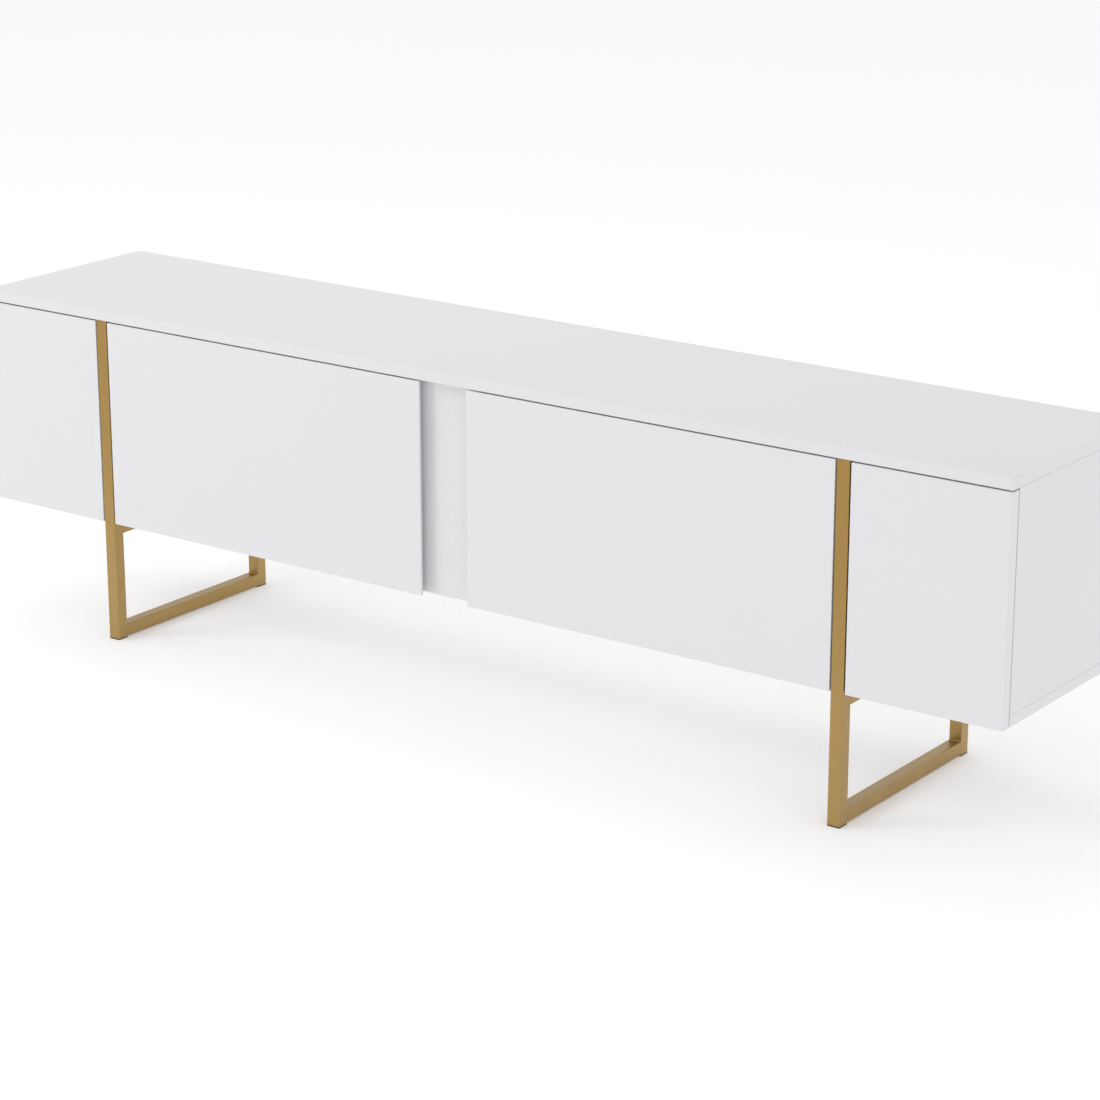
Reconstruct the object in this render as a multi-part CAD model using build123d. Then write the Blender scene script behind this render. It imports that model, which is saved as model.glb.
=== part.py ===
from build123d import *
import os

# A low cabinet with four doors on two square-tube leg frames. Millimetres. The origin is the middle of
# the footprint on the floor, +X to the right as seen from the front, +Y to the back, +Z up.

os.makedirs("parts", exist_ok=True)

# Overall sizes.
width = 1800
depth = 350
height = 526
leg_height = 190  # floor to the underside of the bottom board

# Boards and doors.
board = 16
back_sheet = 3
back_margin = 1  # the back sheet stops this far inside the cabinet's outline
door_thickness = 16
bumper_gap = 2  # from the doors' backs to the front of the carcass
door_gap = 2  # between a door and what stands beside or above it
edge_round = 0.8
recess_width = 83  # finger recess between the two inner doors
grip_lip = 4  # thickness left at the free edge of an inner door
fascia_overlap = 26  # the fascia reaches this far behind each inner door

# Leg frames.
post_let_in = 2  # the boards are notched this deep for the front posts
tube = door_thickness + bumper_gap + post_let_in  # so that the posts are flush with the doors
tube_wall = 1.5
tube_corner = 1.5
leg_inset = 246  # from the cabinet's end to the middle of a leg frame
glide_height = 2
glide_plug = 12
plug_clearance = 0.15
rail_screw_spread = 180
rail_screw_bite = 12

# Cam fittings and dowels that hold the boards together.
fitting_setback = 50  # from the front and back of a board to its fittings
cam_diameter = 15
cam_floor = 1  # what a cam holds beyond the head of its bolt
cam_distance = 34  # from the joint to the middle of the cam
cam_bolt_diameter = 5
cam_bolt_head = 7
cam_bolt_bite = 11
dowel_diameter = 8
dowel_length = 30
dowel_bite = 11
dowel_spacing = 32
fitting_clearance = 0.1

# Concealed cup hinges.
cup_diameter = 35
cup_depth = 11.5
cup_wall = 1
cup_edge = 5  # from the door's edge to the cup's bore
cup_rim = 1.5  # how far the flange reaches past the bore all round
cup_flange = 1.2
cup_flange_length = 56
cup_flange_width = 18
cup_screw_length = 10
hinge_end_distance = 70  # from a door's top or bottom to the middle of a hinge
arm_width = 16
arm_rise = 11
arm_length = 48
arm_sheet = 1.5
arm_standoff = 2  # from the outer doors' side panel to the near side of the arm
arm_setback = 2  # from the carcass front to the arm's channel
arm_bridge = 6  # length of the web where the nose leaves the channel
nose_width = 11
nose_depth = 9  # from the door's face to the tip of the arm's nose
nose_relief = 3
link_width = 5
plate_setback = 6
plate_length = 44
plate_height = 42
plate_foot = 20
plate_sheet = 1.9
plate_screw_length = 12

# Push-to-open catches of the outer doors.
catch_width = 14
catch_height = 16
catch_length = 58
catch_round = 1.5
plunger_diameter = 7
plunger_length = 44
plunger_clearance = 0.4
strike_diameter = 15
strike_thickness = 1
catch_top_distance = 42  # from the top board down to the middle of the catch
touch_gap = 0.3  # air left between a closed door and what it lands on

# Small hardware.
bumper_diameter = 8
screw_diameter = 3.5
screw_head = 7
screw_head_height = 2
slot_width = 1
slot_depth = 1
slot_share = 0.7  # length of a driver slot as a share of its head
nail_diameter = 1.4
nail_head = 4
nail_head_height = 0.6
nail_length = 18
nail_spacing = 120
nail_shares = (0.12, 0.5, 0.88)  # heights of the nails up an upright
cable_slot_width = 80
cable_slot_height = 40
cable_slot_rise = 60  # from the inside bottom to the middle of the cable slot
overcut = 1  # how far a cutting tool runs past the face that it opens

# Planes and edges that the pieces share.
front = -depth / 2
rear = depth / 2
door_back = front + door_thickness
carcass_front = door_back + bumper_gap
carcass_back = rear - back_sheet
post_back = front + tube
fascia_back = carcass_front + board
floor_top = leg_height + board
under_top = height - board
door_top = under_top - door_gap
end_x = width / 2
side_in = end_x - board
leg_x = end_x - leg_inset
inner_door_edge = leg_x - tube / 2 - door_gap
outer_door_edge = leg_x + tube / 2 + door_gap
recess_x = recess_width / 2
arm_base = board + arm_standoff  # from a door's hinged edge to the near side of its arms
cam_depth = board / 2 + cam_bolt_head / 2 + cam_floor
fascia_x = recess_x + fascia_overlap


def block(x, y, z):
    """A box between two values along each axis."""
    size = Box(x[1] - x[0], y[1] - y[0], z[1] - z[0])
    return Pos(sum(x) / 2, sum(y) / 2, sum(z) / 2) * size


def softened(piece, radius=edge_round):
    """The same piece with every edge slightly rounded."""
    return fillet(piece.edges(), radius)


def rod(start, along, radius, length):
    """A round bar that starts at a point and runs along a direction."""
    bar = Cylinder(radius, length, align=(Align.CENTER, Align.CENTER, Align.MIN))
    return Plane(origin=start, z_dir=along).location * bar


def mirrored(piece):
    return mirror(piece, about=Plane.YZ)


def both_sides(pieces):
    """The right-hand solids followed by their mirror images."""
    return [*pieces, *(mirrored(piece) for piece in pieces)]


def cut_away(piece, tools):
    """The piece less each of the tools."""
    for tool in tools:
        piece -= tool
    return piece


def save(name, *pieces):
    """Writes one piece, or several separate solids as one group."""
    shape = pieces[0] if len(pieces) == 1 else Compound(list(pieces))
    export_step(shape, f"parts/{name}.step")


def save_pair(name, piece):
    """Writes the right-hand piece and its mirror image on the left."""
    save(f"right_{name}", piece)
    save(f"left_{name}", mirrored(piece))


# Screws and nails.
def pan_screw(seat, along, length):
    """A pan-head screw: its head stands on the seat and its shank runs along a direction."""
    top = Vector(*seat) - Vector(*along) * screw_head_height
    screw = rod(top, along, screw_head / 2, screw_head_height)
    screw += rod(seat, along, screw_diameter / 2, length)
    long_side = screw_head * slot_share
    for size in ((long_side, slot_width), (slot_width, long_side)):
        screw -= Plane(origin=top, z_dir=along).location * Box(*size, 2 * slot_depth)
    return screw


def nail(x, z):
    """A nail driven forward through the back sheet."""
    shank = rod((x, rear, z), (0, -1, 0), nail_diameter / 2, nail_length)
    return shank + rod((x, rear, z), (0, -1, 0), nail_head / 2, nail_head_height)


# Cam fittings. way is +1 for a joint at the foot of an upright board and -1 for one at its head.
def cam_bolt(x, y, z, way):
    """A steel bolt screwed into a horizontal board, its head held by a cam."""
    start = (x, y, z - way * cam_bolt_bite)
    shank = rod(start, (0, 0, way), cam_bolt_diameter / 2, cam_bolt_bite + cam_distance)
    return shank + Pos(x, y, z + way * cam_distance) * Sphere(cam_bolt_head / 2)


def bolt_bore(x, y, z, way):
    start = (x, y, z - way * cam_bolt_bite)
    return rod(start, (0, 0, way), cam_bolt_head / 2 + fitting_clearance, cam_bolt_bite + cam_distance)


def dowel(x, y, z, way, slack=0):
    start = (x, y + dowel_spacing, z - way * (dowel_bite + slack))
    return rod(start, (0, 0, way), dowel_diameter / 2 + slack, dowel_length + 2 * slack)


def cam_disc(face, side, y, middle, slack=0):
    """The room that a cam fills; side is the way its face looks along X."""
    return rod((face, y, middle), (-side, 0, 0), cam_diameter / 2 + slack, cam_depth + slack)


def cam(face, side, x, y, z, way):
    """The cam with the way in for its bolt and a screwdriver slot."""
    middle = z + way * cam_distance
    room = cam_bolt_head / 2 + fitting_clearance
    way_in = rod((x, y, middle), (0, 0, -way), room, cam_diameter) + Pos(x, y, middle) * Sphere(room)
    slot = Pos(face, y, middle) * Box(2 * slot_depth, slot_width, cam_diameter * slot_share)
    return cam_disc(face, side, y, middle) - way_in - slot


# Hinge pieces, by the upper or lower hinge's middle and the door's hinged front edge: inward is -X and
# back is +Y, as on a right-hand door. face is the distance from the door's edge to the board's face.
cup_x = cup_edge + cup_diameter / 2
arm_start = door_thickness + bumper_gap + arm_setback
arm_x = (-(arm_base + arm_rise), -arm_base)
channel_x = (arm_x[0] - overcut, arm_x[1] - arm_sheet)
hinge_levels = (leg_height + hinge_end_distance, door_top - hinge_end_distance)


def cup_bore():
    """The blind bore that takes a cup, from the back of the door."""
    mouth = (-cup_x, door_thickness + overcut, 0)
    return rod(mouth, (0, -1, 0), cup_diameter / 2, cup_depth + overcut)


def cup_screws():
    reach = (cup_diameter / 2 + cup_rim + cup_flange_length / 2) / 2
    seats = [(-cup_x, door_thickness + cup_flange, sign * reach) for sign in (-1, 1)]
    return [pan_screw(seat, (0, -1, 0), cup_screw_length) for seat in seats]


def cup():
    """A pressed cup with an oval flange that lies on the door's back."""
    outside = rod((-cup_x, door_thickness, 0), (0, -1, 0), cup_diameter / 2 - fitting_clearance, cup_depth)
    wings = SlotOverall(cup_flange_length, cup_flange_width) + Circle(cup_diameter / 2 + cup_rim)
    flange_plane = Plane(origin=(-cup_x, door_thickness, 0), z_dir=(0, 1, 0), x_dir=(0, 0, 1))
    flange = flange_plane.location * extrude(wings, cup_flange)
    hollow_start = (-cup_x, door_thickness + cup_flange + overcut, 0)
    hollow_depth = overcut + cup_flange + cup_depth - cup_wall
    hollow = rod(hollow_start, (0, -1, 0), cup_diameter / 2 - cup_wall, hollow_depth)
    return cut_away(outside + flange - hollow, cup_screws())


def arm():
    """A channel-shaped arm whose narrower nose reaches into the cup."""
    half, inner_half = arm_width / 2, arm_width / 2 - arm_sheet
    body = block(arm_x, (arm_start, arm_start + arm_length), (-half, half))
    body -= block(
        channel_x, (arm_start - overcut, arm_start + arm_length - arm_sheet), (-inner_half, inner_half)
    )
    half, inner_half = nose_width / 2, nose_width / 2 - arm_sheet
    nose_x = (arm_x[0] + nose_relief, arm_x[1])
    nose = block(nose_x, (nose_depth, arm_start + arm_bridge), (-half, half))
    nose -= block(
        channel_x, (nose_depth - overcut, arm_start + arm_bridge + overcut), (-inner_half, inner_half)
    )
    return body + nose


def link():
    """The folded links between the nose and the cup, as one rounded block inside the nose."""
    half = nose_width / 2 - arm_sheet - fitting_clearance
    far_x = channel_x[1] - fitting_clearance
    return softened(block((far_x - link_width, far_x), (nose_depth + 1, arm_start + 1), (-half, half)), 1)


def plate_screws(face):
    y = door_thickness + bumper_gap + plate_setback + plate_foot
    head_x = -min(face + plate_sheet, arm_base)
    reach = (plate_height + arm_width) / 4
    return [pan_screw((head_x, y, sign * reach), (1, 0, 0), plate_screw_length) for sign in (-1, 1)]


def plate(face):
    """The mounting plate that carries the arm on the board's face."""
    start = door_thickness + bumper_gap + plate_setback
    half = arm_width / 2 - 1
    rise = block((-arm_base, -face), (start, start + plate_length), (-half, half))
    foot_x = (-min(face + plate_sheet, arm_base), -face)
    foot = block(
        foot_x, (start + plate_foot / 2, start + plate_foot * 1.5), (-plate_height / 2, plate_height / 2)
    )
    return cut_away(rise + foot, plate_screws(face))


def at_hinges(edge, pieces):
    """The given pieces at the upper and the lower hinge of the door whose hinged edge is at edge."""
    return [Pos(edge, front, z) * piece for z in hinge_levels for piece in pieces]


# Doors of the right half: free edge, hinged edge, finger pull or not, and the board that carries them.
doors = {
    "outer": (outer_door_edge, end_x, False, end_x - side_in),
    "inner": (recess_x, inner_door_edge, True, inner_door_edge - (leg_x - board)),
}
hinge_fixings = {name: at_hinges(far, plate_screws(face)) for name, (_, far, _, face) in doors.items()}

# Upright boards of the right half: range along X, front, the way the cams look, and the hinge screws.
uprights = {
    "side_panel": ((side_in, end_x), carcass_front, -1, hinge_fixings["outer"]),
    "outer_divider": ((leg_x, leg_x + board), post_back, 1, []),
    "inner_divider": ((leg_x - board, leg_x), post_back, -1, hinge_fixings["inner"]),
    "centre_divider": ((-board / 2, board / 2), fascia_back, 1, []),
}
fitting_rows = (post_back + fitting_setback, carcass_back - fitting_setback - dowel_spacing)
nail_levels = [floor_top + (under_top - floor_top) * share for share in nail_shares]
seat_bores = []
cams = []
cam_bolts = []
dowels = []
back_nails = []
for name, (x_range, upright_front, cam_side, screws) in uprights.items():
    middle = sum(x_range) / 2
    cam_face = x_range[1] if cam_side > 0 else x_range[0]
    copies = both_sides if middle else list
    upright = softened(block(x_range, (upright_front, carcass_back), (floor_top, under_top)))
    joints = [(middle, y, z, way) for y in fitting_rows for z, way in ((floor_top, 1), (under_top, -1))]
    for x, y, z, way in joints:
        bores = [bolt_bore(x, y, z, way), dowel(x, y, z, way, fitting_clearance)]
        disc = cam_disc(cam_face, cam_side, y, z + way * cam_distance, fitting_clearance)
        upright = cut_away(upright, [*bores, disc])
        seat_bores += copies(bores)
        cams += copies([cam(cam_face, cam_side, x, y, z, way)])
        cam_bolts += copies([cam_bolt(x, y, z, way)])
        dowels += copies([dowel(x, y, z, way)])
    nails = [nail(middle, z) for z in nail_levels]
    back_nails += copies(nails)
    upright = cut_away(upright, [*nails, *screws])
    if middle:
        save_pair(name, upright)
    else:
        save(name, upright)
save("cam_locks", *cams)
save("cam_bolts", *cam_bolts)
save("dowels", *dowels)

# Leg frames: four square tubes each, welded where they meet.
tube_section = RectangleRounded(tube, tube, tube_corner)
tube_section -= Rectangle(tube - 2 * tube_wall, tube - 2 * tube_wall)
rail_half = depth / 2 - tube
post_rows = (front + tube / 2, rear - tube / 2)


def post(y, top):
    return Pos(leg_x, y, glide_height) * extrude(tube_section, top - glide_height)


def rail(z):
    start = Plane(origin=(leg_x, -rail_half, z), z_dir=(0, 1, 0), x_dir=(1, 0, 0))
    return extrude(start.location * tube_section, 2 * rail_half)


rail_screws = []
for y in (-rail_screw_spread / 2, rail_screw_spread / 2):
    rail_screws.append(pan_screw((leg_x, y, leg_height - tube), (0, 0, 1), tube + rail_screw_bite))
save_pair("frame_front_post", post(post_rows[0], under_top))
save_pair("frame_rear_post", post(post_rows[1], leg_height))
save_pair("frame_bottom_rail", rail(glide_height + tube / 2))
save_pair("frame_top_rail", cut_away(rail(leg_height - tube / 2), rail_screws))
save("rail_screws", *both_sides(rail_screws))

# A glide under each post, its plug inside the tube.
plug_side = tube - 2 * tube_wall - 2 * plug_clearance
glide = extrude(RectangleRounded(tube, tube, tube_corner), glide_height)
glide += Pos(0, 0, glide_height) * extrude(Rectangle(plug_side, plug_side), glide_plug)
save("foot_glides", *both_sides([Pos(leg_x, y, 0) * glide for y in post_rows]))

# Top and bottom boards. The bottom is notched for the front posts and for the fascia.
under_nails = [nail(leg_x / 2 + step * nail_spacing, leg_height + board / 2) for step in (-1, 0, 1)]
back_nails += both_sides(under_nails)
through = (leg_height - overcut, floor_top + overcut)
notches = [block((-fascia_x, fascia_x), (front, fascia_back), through)]
notches += both_sides([block((leg_x - tube / 2, leg_x + tube / 2), (front, post_back), through)])
top_board = softened(block((-end_x, end_x), (front, rear), (under_top, height)))
bottom_board = softened(block((-end_x, end_x), (carcass_front, carcass_back), (leg_height, floor_top)))
save("top_board", cut_away(top_board, seat_bores))
bottom_tools = [*notches, *seat_bores, *both_sides(rail_screws), *both_sides(under_nails)]
save("bottom_board", cut_away(bottom_board, bottom_tools))

# The fascia closes the finger recess and stands in its notch of the bottom board.
fascia = block((-fascia_x, fascia_x), (carcass_front, fascia_back), (leg_height, under_top))
save("recess_fascia", softened(fascia))

# Back sheet with a cable slot behind each inner compartment.
back_x = end_x - back_margin
back = block(
    (-back_x, back_x), (carcass_back, rear), (leg_height + back_margin, under_top - back_margin / 2)
)
slot_profile = SlotOverall(cable_slot_width, cable_slot_height)
for sign in (-1, 1):
    slot_start = (sign * (leg_x - board) / 2, rear + overcut, floor_top + cable_slot_rise)
    slot_plane = Plane(origin=slot_start, z_dir=(0, -1, 0), x_dir=(1, 0, 0))
    back -= extrude(slot_plane.location * slot_profile, back_sheet + 2 * overcut)
save("back_sheet", cut_away(back, back_nails))
save("back_nails", *back_nails)


def door(near, far, pull):
    """A right-hand door from its free edge to its hinged edge, cut back behind a thin lip for a pull."""
    corner = [(near, door_back)]
    if pull:
        corner = [(near + door_thickness - grip_lip, door_back), (near, front + grip_lip)]
    outline = Polyline((near, front), (far, front), (far, door_back), *corner, close=True)
    panel = extrude(Pos(0, 0, leg_height) * make_face(outline), door_top - leg_height)
    return cut_away(softened(panel), at_hinges(far, [cup_bore(), *cup_screws()]))


arms = []
links = []
plates = []
plate_fixings = []
for name, (near, far, pull, face) in doors.items():
    save_pair(f"{name}_door", door(near, far, pull))
    cups = at_hinges(far, [cup()])
    screws = at_hinges(far, cup_screws())
    save(f"right_{name}_hinge_cups", *cups)
    save(f"left_{name}_hinge_cups", *map(mirrored, cups))
    save(f"right_{name}_cup_screws", *screws)
    save(f"left_{name}_cup_screws", *map(mirrored, screws))
    arms += both_sides(at_hinges(far, [arm()]))
    links += both_sides(at_hinges(far, [link()]))
    plates += both_sides(at_hinges(far, [plate(face)]))
    plate_fixings += both_sides(hinge_fixings[name])
save("hinge_arms", *arms)
save("hinge_links", *links)
save("hinge_plates", *plates)
save("hinge_plate_screws", *plate_fixings)

# Push-to-open catches on the outer dividers: body, sprung plunger, and a strike on the door.
catch_x = leg_x + board
catch_z = under_top - catch_top_distance
catch_middle = catch_x + catch_width / 2
plunger_tip = door_back + strike_thickness + touch_gap
catch_y = (carcass_front, carcass_front + catch_length)
catch = block(
    (catch_x, catch_x + catch_width), catch_y, (catch_z - catch_height / 2, catch_z + catch_height / 2)
)
barrel_start = (catch_middle, carcass_front - overcut, catch_z)
barrel_depth = overcut + plunger_length
barrel = rod(barrel_start, (0, 1, 0), plunger_diameter / 2 + plunger_clearance, barrel_depth)
save("catch_bodies", *both_sides([softened(catch, catch_round) - barrel]))
plunger = rod((catch_middle, plunger_tip, catch_z), (0, 1, 0), plunger_diameter / 2, plunger_length)
save_pair("catch_plunger", plunger)
strike = rod((catch_middle, door_back, catch_z), (0, 1, 0), strike_diameter / 2, strike_thickness)
save_pair("strike_plate", strike)

# Soft bumpers that the doors land on: two on the fascia for each inner door, one for each outer door.
landing_x = recess_x + (door_thickness - grip_lip + fascia_overlap) / 2
bumper_spots = [(landing_x, floor_top + 2 * board), (landing_x, under_top - 2 * board)]
bumper_spots.append((outer_door_edge + bumper_diameter, leg_height + board / 2))
bumpers = [
    rod((x, carcass_front, z), (0, -1, 0), bumper_diameter / 2, bumper_gap - touch_gap)
    for x, z in bumper_spots
]
save("door_bumpers", *both_sides(bumpers))
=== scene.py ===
import math

import bmesh
import bpy
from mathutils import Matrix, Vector


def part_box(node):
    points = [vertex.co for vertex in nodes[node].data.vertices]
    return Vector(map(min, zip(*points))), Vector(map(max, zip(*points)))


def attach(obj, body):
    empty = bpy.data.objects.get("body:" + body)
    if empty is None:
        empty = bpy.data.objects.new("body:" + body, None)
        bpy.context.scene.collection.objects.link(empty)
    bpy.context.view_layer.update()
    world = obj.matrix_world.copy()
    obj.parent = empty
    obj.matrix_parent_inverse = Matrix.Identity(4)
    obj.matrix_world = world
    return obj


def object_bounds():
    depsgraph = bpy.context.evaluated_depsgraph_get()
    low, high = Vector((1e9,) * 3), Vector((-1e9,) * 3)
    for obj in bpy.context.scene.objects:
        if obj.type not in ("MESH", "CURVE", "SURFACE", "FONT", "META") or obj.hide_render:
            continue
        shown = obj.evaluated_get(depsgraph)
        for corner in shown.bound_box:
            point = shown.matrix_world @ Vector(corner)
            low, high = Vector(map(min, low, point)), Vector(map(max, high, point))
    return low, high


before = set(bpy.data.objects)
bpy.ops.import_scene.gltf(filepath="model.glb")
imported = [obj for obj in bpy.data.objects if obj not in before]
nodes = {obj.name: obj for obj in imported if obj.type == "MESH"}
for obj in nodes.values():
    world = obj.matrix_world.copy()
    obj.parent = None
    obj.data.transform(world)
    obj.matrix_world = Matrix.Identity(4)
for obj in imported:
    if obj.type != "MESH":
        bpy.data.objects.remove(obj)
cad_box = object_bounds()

# Camera: it stands out in front of the right-hand end and looks down along the cabinet, tilted below the
# horizon and turned from straight back by the angles here, in degrees. The long lens keeps the far end of
# the top nearly as wide as the near one.
CAMERA_TILT = 17.46
CAMERA_HEADING = 36.02
camera_data = bpy.data.cameras.new("camera")
camera_data.lens = 105.5
camera_data.sensor_width = 36
camera = bpy.data.objects.new("camera", camera_data)
camera.location = (2.6964, -3.6262, 1.6435)
camera.rotation_euler = (math.radians(90 - CAMERA_TILT), 0, math.radians(CAMERA_HEADING))
bpy.context.scene.collection.objects.link(camera)
bpy.context.scene.camera = camera


# Studio: a wide pale floor in a white room that is brightest along the horizon, with a key softbox at the
# front left and another overhead, so that gloss and gold pick up broad, soft gradients. The floor is matt
# paint with a faint glow of its own, which keeps the shadow under the cabinet light.
class Shade:
    """A value in a node tree. Arithmetic on it adds Math nodes, and node() adds any other node."""

    def __init__(self, tree, socket=None):
        self.tree = tree
        self.socket = socket

    def node(self, kind, settings=None, sockets=None, output=0):
        """Adds a node: its settings first, then values or links for its sockets. Returns an output."""
        made = self.tree.nodes.new("ShaderNode" + kind)
        for name, value in (settings or {}).items():
            setattr(made, name, value)
        for name, value in (sockets or {}).items():
            if isinstance(value, Shade):
                self.tree.links.new(value.socket, made.inputs[name])
            else:
                made.inputs[name].default_value = value
        return Shade(self.tree, made.outputs[output] if made.outputs else None)

    def maths(self, operation, *terms):
        return self.node("Math", {"operation": operation}, dict(enumerate(terms)))

    def __add__(self, other):
        return self.maths("ADD", self, other)

    def __sub__(self, other):
        return self.maths("SUBTRACT", self, other)

    def __rsub__(self, other):
        return self.maths("SUBTRACT", other, self)

    def __mul__(self, other):
        return self.maths("MULTIPLY", self, other)

    def __abs__(self):
        return self.maths("ABSOLUTE", self)

    __radd__ = __add__
    __rmul__ = __mul__

    def step(self, low, high):
        """0 up to low, 1 from high, and smooth between."""
        return self.node("MapRange", {"interpolation_type": "SMOOTHSTEP"},
                         {"Value": self, "From Min": low, "From Max": high})

    def place(self, output="Object"):
        """Where a point of the piece is, in metres and fixed to the piece, or another texture coordinate."""
        return self.node("TexCoord", output=output)

    def along(self, axis):
        """One coordinate of that place: X, Y or Z."""
        return self.node("SeparateXYZ", None, {0: self.place()}, output=axis)

    def facing(self, axis):
        """How far the surface faces along X, Y or Z, from -1 to 1."""
        return self.node("SeparateXYZ", None, {0: self.place("Normal")}, output=axis)

    def cloud(self, size, stretch=(1, 1, 1), detail=2.0):
        """Cloudy noise from 0 to 1, in patches about size metres across before they are stretched."""
        squeeze = tuple(1 / (size * s) for s in stretch)
        point = self.node("VectorMath", {"operation": "MULTIPLY"}, {0: self.place(), 1: squeeze})
        return self.node("TexNoise", None, {"Vector": point, "Scale": 1.0, "Detail": detail})

    def grains(self, size):
        """How far a point is from the middle of its cell, in cells about size metres across."""
        return self.node("TexVoronoi", None, {"Vector": self.place(), "Scale": 1 / size})

    def blend(self, low, high):
        """A colour from low at 0 to high at 1. Mix's socket 0 is its factor, and 6 and 7 are its colours."""
        return self.node("Mix", {"data_type": "RGBA"}, {0: self, 6: low, 7: high}, output=2)

    def bump(self, depth, under=None):
        """A normal from this height, depth metres from 0 to 1, over another normal if there is one."""
        sockets = {"Height": self, "Distance": depth, "Strength": 1.0}
        if under:
            sockets["Normal"] = under
        return self.node("Bump", None, sockets)


def make_finish(name, surface):
    """A material whose Principled shader has the sockets that surface gives for its tree."""
    material = bpy.data.materials.new(name)
    material.use_nodes = True
    material.node_tree.nodes.clear()
    shade = Shade(material.node_tree)
    body = shade.node("BsdfPrincipled", None, surface(shade))
    shade.node("OutputMaterial", None, {"Surface": body})
    return material


FLOOR_GLOW = 0.165
FLOOR_REACH = 30.0


def studio_floor(shade):
    return {
        "Base Color": shade.cloud(0.7).blend((0.968, 0.968, 0.968, 1), (0.975, 0.975, 0.975, 1)),
        "Roughness": 0.8,
        "Specular IOR Level": 0.2,
        "Emission Color": (1, 1, 1, 1),
        "Emission Strength": FLOOR_GLOW,
    }


floor_mesh = bpy.data.meshes.new("studio_floor")
floor_shape = bmesh.new()
bmesh.ops.create_grid(floor_shape, x_segments=1, y_segments=1, size=FLOOR_REACH)
floor_shape.to_mesh(floor_mesh)
floor_shape.free()
floor_mesh.materials.append(make_finish("studio_floor", studio_floor))
floor = bpy.data.objects.new("studio_floor", floor_mesh)
bpy.context.scene.collection.objects.link(floor)

HORIZON_LIGHT = 0.96
CEILING_LIGHT = 0.78
room = bpy.data.worlds.new("white_room")
room.use_nodes = True
room.node_tree.nodes.clear()
room_shade = Shade(room.node_tree)
upward = room_shade.node("SeparateXYZ", None, {0: room_shade.place("Generated")}, output="Z")
ceiling = upward.step(0.04, 0.40)
room_strength = HORIZON_LIGHT * (1 - ceiling) + CEILING_LIGHT * ceiling
room_glow = room_shade.node("Background", None, {"Color": (1, 1, 1, 1), "Strength": room_strength})
room_shade.node("OutputWorld", None, {"Surface": room_glow})
bpy.context.scene.world = room
bpy.context.scene.view_settings.view_transform = "Standard"


def softbox(name, place, size, power, target=(0, 0, 0.3)):
    """A rectangular studio lamp at place, facing target."""
    lamp = bpy.data.lights.new(name, "AREA")
    lamp.shape = "RECTANGLE"
    lamp.size, lamp.size_y = size
    lamp.energy = power
    stand = bpy.data.objects.new(name, lamp)
    stand.location = place
    stand.rotation_euler = (Vector(target) - Vector(place)).to_track_quat("-Z", "Y").to_euler()
    bpy.context.scene.collection.objects.link(stand)


KEY_POWER = 62
OVERHEAD_POWER = 12
softbox("key_softbox", (-4.1, -4.3, 4.3), (1.8, 1.5), KEY_POWER)
softbox("overhead_softbox", (-0.6, 0.3, 3.4), (3.6, 1.6), OVERHEAD_POWER, (-0.3, 0, 0))


def wear(material, *names):
    """The named CAD pieces take the material in every slot."""
    for name in names:
        for slot in nodes[name].material_slots:
            slot.material = material


def gold_powder_coat(shade):
    flake = shade.grains(0.0007).step(0.15, 0.75)
    drift = shade.cloud(0.09, detail=3)
    # Painted reflection: the coat is painted paler and lighter towards the foot of the frame and a deeper,
    # darker orange towards its head, standing in for the room reflected down the tubes. Within each end, the
    # drift is a real, random variation in the coat.
    painted_reflection_foot = drift.blend((0.435, 0.282, 0.094, 1), (0.485, 0.325, 0.120, 1))
    painted_reflection_head = drift.blend((0.385, 0.230, 0.060, 1), (0.425, 0.262, 0.076, 1))
    painted_reflection_gradient = shade.along("Z").step(0.05, 0.42).blend(painted_reflection_foot, painted_reflection_head)
    colour = shade.node("Mix", {"data_type": "RGBA", "blend_type": "MULTIPLY"},
                        {0: 1.0, 6: painted_reflection_gradient, 7: flake.blend((1, 1, 1, 1), (0.86, 0.85, 0.83, 1))}, output=2)
    skin = shade.cloud(0.0035, detail=1).bump(0.00006)
    return {
        "Base Color": colour,
        "Metallic": 0.92,
        "Roughness": 0.33 + 0.06 * drift + 0.05 * flake,
        "Coat Weight": 0.35,
        "Coat Roughness": 0.16,
        "Normal": shade.cloud(0.0009, detail=1).bump(0.00002, skin),
    }


gold = make_finish("gold_powder_coat", gold_powder_coat)
for side in ("left", "right"):
    for part in ("front_post", "rear_post", "bottom_rail", "top_rail"):
        wear(gold, f"{side}_frame_{part}")


# Weld beads: the tubes are joined by short runs of weld, left rippled in the inside corners and ground
# almost flush on the flanks of each frame. They are coated with the frame.
BEAD_SIDES = 14
BEAD_SLICE = 0.0003
BEAD_RIPPLE = 0.0016


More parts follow.
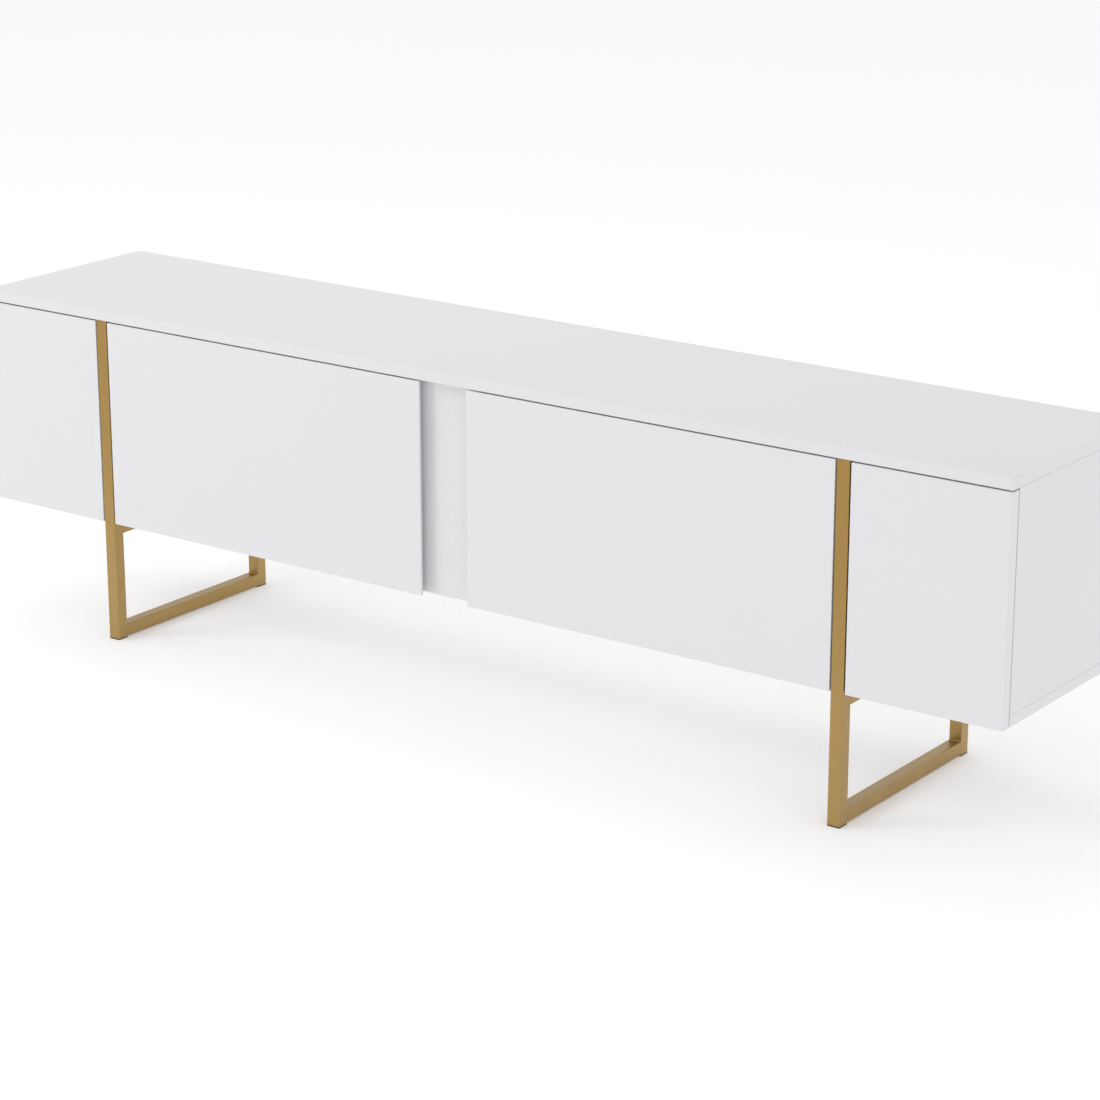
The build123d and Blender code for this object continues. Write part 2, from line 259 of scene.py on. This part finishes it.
def weld_bead(name, start, end, radii):
    """A rippled bead from start to end, along X or Z. Its radii are across the run, as (out, along Y)."""
    start, end = Vector(start), Vector(end)
    run = (end - start).normalized()
    out = Vector((0, 0, 1)) if abs(run.x) > 0.5 else Vector((1, 0, 0))
    steps = int((end - start).length / BEAD_SLICE)
    shape = bmesh.new()
    rings = []
    for i in range(steps + 1):
        t = i / steps
        middle = start.lerp(end, t)
        travelled = t * (end - start).length
        # The run tapers over its first and last sixth. Each ripple starts full and falls away, and a slow
        # wobble keeps any two of them from matching.
        ease = max(0.08, min(1, 6 * t, 6 * (1 - t)) ** 0.5)
        ripple = 1.06 - 0.28 * ((travelled / BEAD_RIPPLE) % 1)
        wobble = 0.05 * math.sin(1700 * travelled)
        swell = ease * (ripple + wobble)
        ring = []
        for k in range(BEAD_SIDES):
            turn = math.tau * k / BEAD_SIDES
            lag = 0.0004 * ease * math.cos(2 * turn)
            spot = middle + run * lag + out * (radii[0] * swell * math.cos(turn))
            ring.append(shape.verts.new(spot + Vector((0, radii[1] * swell * math.sin(turn), 0))))
        rings.append(ring)
    for a, b in zip(rings, rings[1:]):
        for k in range(BEAD_SIDES):
            after = (k + 1) % BEAD_SIDES
            shape.faces.new((a[k], a[after], b[after], b[k]))
    shape.faces.new(rings[0][::-1])
    shape.faces.new(rings[-1])
    bmesh.ops.recalc_face_normals(shape, faces=shape.faces)
    for face in shape.faces:
        face.smooth = True
    mesh = bpy.data.meshes.new(name)
    shape.to_mesh(mesh)
    shape.free()
    mesh.materials.append(gold)
    bead = bpy.data.objects.new(name, mesh)
    bpy.context.scene.collection.objects.link(bead)
    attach(bead, "carcass")


INSIDE_BEAD = (0.0021, 0.0021)
GROUND_BEAD = (0.00035, 0.0016)
INSIDE_MARGIN = 0.0018
GROUND_MARGIN = 0.002
for side in ("left", "right"):
    front_low, front_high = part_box(f"{side}_frame_front_post")
    rear_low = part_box(f"{side}_frame_rear_post")[0]
    flanks = (front_low[0], front_high[0])
    outer_faces = {"inboard": min(flanks, key=abs), "outboard": max(flanks, key=abs)}
    # The inside of the frame meets the bottom rail at its upper corner and the top rail at its lower one.
    for rail, face in (("bottom", 1), ("top", 0)):
        rail_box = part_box(f"{side}_frame_{rail}_rail")
        inside = rail_box[face][2]
        for end, y in (("front", front_high[1]), ("rear", rear_low[1])):
            weld_bead(f"{side}_{end}_{rail}_weld", (front_low[0] + INSIDE_MARGIN, y, inside),
                      (front_high[0] - INSIDE_MARGIN, y, inside), INSIDE_BEAD)
            for flank, x in outer_faces.items():
                weld_bead(f"{side}_{end}_{rail}_{flank}_weld", (x, y, rail_box[0][2] + GROUND_MARGIN),
                          (x, y, rail_box[1][2] - GROUND_MARGIN), GROUND_BEAD)


# Foot glides: black nylon pads under the corners of each leg frame, plugged into the tube and moulded with a
# fine spark texture. They keep the tube off the floor and leave a thin dark line under it.
def black_nylon(shade):
    spark = shade.grains(0.0005)
    return {
        "Base Color": shade.cloud(0.004).blend((0.014, 0.014, 0.015, 1), (0.024, 0.024, 0.025, 1)),
        "Roughness": 0.42 + 0.18 * spark,
        "Normal": spark.bump(0.00003),
    }


wear(make_finish("black_nylon", black_nylon), "foot_glides")


# Carcass: 16 mm boards. The outside faces and the top are a high-gloss white film, with a 1 mm edge band
# glued to each end. The dividers inside are the same board in a satin melamine with a fine pearled texture.
EDGE_BAND = 0.001


def gloss_white_film(shade):
    haze = shade.cloud(0.35, detail=3)
    wiped = shade.cloud(0.05, stretch=(3, 1, 1), detail=4).step(0.45, 0.8)
    peel = shade.cloud(0.005, detail=1).bump(0.000010)
    from_glue = abs(abs(shade.along("X")) - (cad_box[1][0] - EDGE_BAND))
    glue_line = 1 - from_glue.step(0.00004, 0.00014)
    film = haze.blend((0.756, 0.754, 0.774, 1), (0.772, 0.770, 0.790, 1))
    return {
        "Base Color": (0.35 * glue_line).blend(film, (0.50, 0.49, 0.47, 1)),
        "Roughness": 0.13 + 0.03 * haze + 0.03 * wiped,
        "Coat Weight": 0.5,
        "Coat Roughness": 0.09,
        "Normal": shade.cloud(0.06, detail=1).bump(0.00006, peel),
    }


def satin_melamine(shade):
    pearl = shade.cloud(0.0011, detail=2)
    return {
        "Base Color": shade.cloud(0.2).blend((0.735, 0.735, 0.735, 1), (0.755, 0.755, 0.752, 1)),
        "Roughness": 0.36 + 0.12 * pearl,
        "Normal": pearl.bump(0.00004),
    }


gloss_film = make_finish("gloss_white_film", gloss_white_film)
melamine = make_finish("satin_melamine", satin_melamine)
wear(gloss_film, "bottom_board", "left_side_panel", "right_side_panel", "recess_fascia", "top_board")
wear(melamine, "centre_divider")
for side in ("left", "right"):
    wear(melamine, f"{side}_outer_divider", f"{side}_inner_divider")


# Board fittings: zinc cam locks with steel bolts draw the boards together and beech dowels line them up.
# Screws through the top rail of each leg frame hold the carcass down on it.
def zinc_plate(shade):
    spangle = shade.node("TexVoronoi", None, {"Vector": shade.place(), "Scale": 450}, output="Color")
    crystal = shade.node("SeparateColor", None, {0: spangle})
    return {
        "Base Color": crystal.blend((0.50, 0.51, 0.53, 1), (0.64, 0.645, 0.66, 1)),
        "Metallic": 1.0,
        "Roughness": 0.30 + 0.16 * crystal,
        "Normal": shade.cloud(0.0012, detail=3).bump(0.00004),
    }


def turned_beech(shade):
    grain = shade.cloud(0.0012, stretch=(14, 1, 1), detail=4)
    rays = shade.cloud(0.0007, stretch=(3, 1, 1), detail=1).step(0.62, 0.72)
    wood = grain.blend((0.52, 0.33, 0.18, 1), (0.70, 0.50, 0.31, 1))
    return {
        "Base Color": (0.4 * rays).blend(wood, (0.36, 0.20, 0.10, 1)),
        "Roughness": 0.58 + 0.12 * grain,
        "Normal": grain.bump(0.00008),
    }


zinc = make_finish("zinc_plate", zinc_plate)
wear(zinc, "cam_bolts", "cam_locks", "rail_screws")
wear(make_finish("turned_beech", turned_beech), "dowels")


# Back sheet: 3 mm hardboard, lacquered white towards the compartments and primed a warm grey behind, where
# the pressed fibres still show. Small zinc nails along its rim hold it to the boards.
def primed_hardboard(shade):
    behind = shade.facing("Y").step(0.4, 0.6)
    fibre = shade.cloud(0.0007, stretch=(5, 1, 2), detail=5)
    patch = shade.cloud(0.11, detail=3)
    fleck = shade.cloud(0.0011, stretch=(3, 1, 1), detail=2).step(0.66, 0.74)
    primer = (0.5 * fibre + 0.5 * patch).blend((0.590, 0.585, 0.565, 1), (0.675, 0.670, 0.652, 1))
    flecked = (0.22 * fleck).blend(primer, (0.36, 0.32, 0.26, 1))
    return {
        "Base Color": behind.blend((0.74, 0.74, 0.735, 1), flecked),
        "Roughness": 0.42 + 0.22 * behind + 0.10 * fibre,
        "Normal": (fibre * behind).bump(0.00007),
    }


wear(make_finish("primed_hardboard", primed_hardboard), "back_sheet")
wear(zinc, "back_nails")


# Doors: four 16 mm slabs wrapped in the same gloss film, with a lightly rounded edge all round and no
# handle. The inner pair is opened by the lip beside the finger recess, and the outer pair by a push.
for side in ("left", "right"):
    wear(gloss_film, f"{side}_outer_door", f"{side}_inner_door")


# Door bumpers: small discs of soft clear rubber, stuck to the front of the carcass, that the doors land on.
# They keep the doors off the boards and quieten them.
def clear_rubber(shade):
    dust = shade.cloud(0.0008, detail=2)
    return {
        "Base Color": dust.blend((0.78, 0.79, 0.79, 1), (0.66, 0.67, 0.67, 1)),
        "Roughness": 0.18 + 0.20 * dust,
        "Transmission Weight": 0.55,
        "IOR": 1.46,
    }


wear(make_finish("clear_rubber", clear_rubber), "door_bumpers")


# Concealed hinges: pressed steel cups let into the doors, folded arms on mounting plates, and links between
# them, all nickel plated, with fine drawing marks along the arm. Zinc screws hold the cups and plates.
def nickel_plate(shade):
    drawn = shade.cloud(0.00022, stretch=(1, 40, 1), detail=2)
    rubbed = shade.cloud(0.006, detail=2)
    return {
        "Base Color": rubbed.blend((0.635, 0.625, 0.605, 1), (0.700, 0.692, 0.675, 1)),
        "Metallic": 1.0,
        "Roughness": 0.19 + 0.07 * drawn + 0.04 * rubbed,
        "Normal": drawn.bump(0.000004),
    }


nickel = make_finish("nickel_plate", nickel_plate)
wear(nickel, "hinge_arms", "hinge_links", "hinge_plates")
wear(zinc, "hinge_plate_screws")
for side in ("left", "right"):
    wear(nickel, f"{side}_outer_hinge_cups", f"{side}_inner_hinge_cups")
    wear(zinc, f"{side}_outer_cup_screws", f"{side}_inner_cup_screws")


# Push catches: grey moulded housings high on the outer dividers, with a sprung plunger each, which meets a
# small nickel plate on the outer door. A push on the door lets it spring open.
def grey_acetal(shade):
    moulded = shade.grains(0.0006)
    return {
        "Base Color": shade.cloud(0.006).blend((0.235, 0.240, 0.245, 1), (0.285, 0.290, 0.295, 1)),
        "Roughness": 0.38 + 0.16 * moulded,
        "Normal": moulded.bump(0.00002),
    }


acetal = make_finish("grey_acetal", grey_acetal)
wear(acetal, "catch_bodies")
for side in ("left", "right"):
    wear(acetal, f"{side}_catch_plunger")
    wear(nickel, f"{side}_strike_plate")
